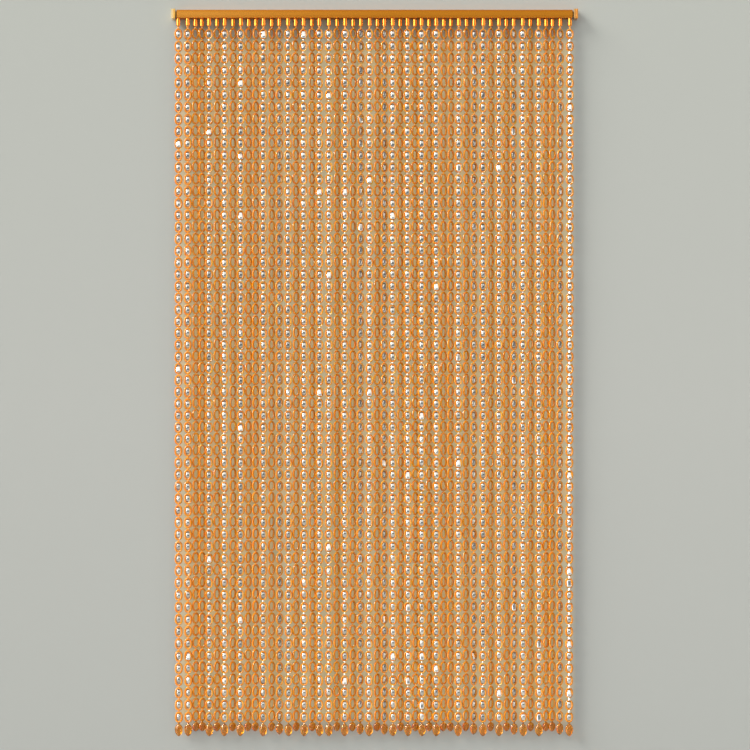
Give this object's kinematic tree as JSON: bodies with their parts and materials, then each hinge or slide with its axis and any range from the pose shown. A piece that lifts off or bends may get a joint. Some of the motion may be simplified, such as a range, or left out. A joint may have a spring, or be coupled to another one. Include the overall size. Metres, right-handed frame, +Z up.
{
  "type": "sequin string curtain and rail",
  "caption": "Door curtain of hanging strands: flat oval amber frames in chains, with mirror sequins inside, sleeves under a slotted metal rail and a drop bead at each end.",
  "frame": {"origin": "middle of the rail's back face, where it meets the wall", "axes": "+Z up, +Y out of the rail's back face into the wall, front of the curtain towards -Y, +X along the rail to the right as seen from the front"},
  "size_m": [1, 0.027, 1.7895],
  "materials": {
    "rail_metal": "satin orange-gold anodised",
    "cap_metal": "polished gold plating",
    "sleeve_metal": "polished gold plating",
    "amber_resin": "clear amber, polished",
    "mirror_sequin": "silver mirror",
    "silver_bead": "polished silver"
  },
  "bodies": {
    "root": {"head_rail": "rail_metal", "end_cap_left": "cap_metal", "end_cap_right": "cap_metal", "strings": "amber_resin", "sleeve_01": "sleeve_metal", "sleeve_02": "sleeve_metal", "sleeve_03": "sleeve_metal", "sleeve_04": "sleeve_metal", "sleeve_05": "sleeve_metal", "sleeve_06": "sleeve_metal", "sleeve_07": "sleeve_metal", "sleeve_08": "sleeve_metal", "sleeve_09": "sleeve_metal", "sleeve_10": "sleeve_metal", "sleeve_11": "sleeve_metal", "sleeve_12": "sleeve_metal", "sleeve_13": "sleeve_metal", "sleeve_14": "sleeve_metal", "sleeve_15": "sleeve_metal", "sleeve_16": "sleeve_metal", "sleeve_17": "sleeve_metal", "sleeve_18": "sleeve_metal", "sleeve_19": "sleeve_metal", "sleeve_20": "sleeve_metal", "sleeve_21": "sleeve_metal", "sleeve_22": "sleeve_metal", "sleeve_23": "sleeve_metal", "sleeve_24": "sleeve_metal", "sleeve_25": "sleeve_metal", "sleeve_26": "sleeve_metal", "sleeve_27": "sleeve_metal", "sleeve_28": "sleeve_metal", "sleeve_29": "sleeve_metal", "sleeve_30": "sleeve_metal", "sleeve_31": "sleeve_metal", "sleeve_32": "sleeve_metal", "sleeve_33": "sleeve_metal", "sleeve_34": "sleeve_metal", "sleeve_35": "sleeve_metal", "sleeve_36": "sleeve_metal", "sleeve_37": "sleeve_metal", "sleeve_38": "sleeve_metal", "sleeve_39": "sleeve_metal", "sleeve_40": "sleeve_metal", "sleeve_41": "sleeve_metal", "sleeve_42": "sleeve_metal", "sleeve_43": "sleeve_metal", "sleeve_44": "sleeve_metal", "sleeve_45": "sleeve_metal", "sleeve_46": "sleeve_metal", "sleeve_47": "sleeve_metal", "sleeve_48": "sleeve_metal", "sleeve_49": "sleeve_metal", "sleeve_50": "sleeve_metal", "sleeve_51": "sleeve_metal"}
  },
  "joints": []
}
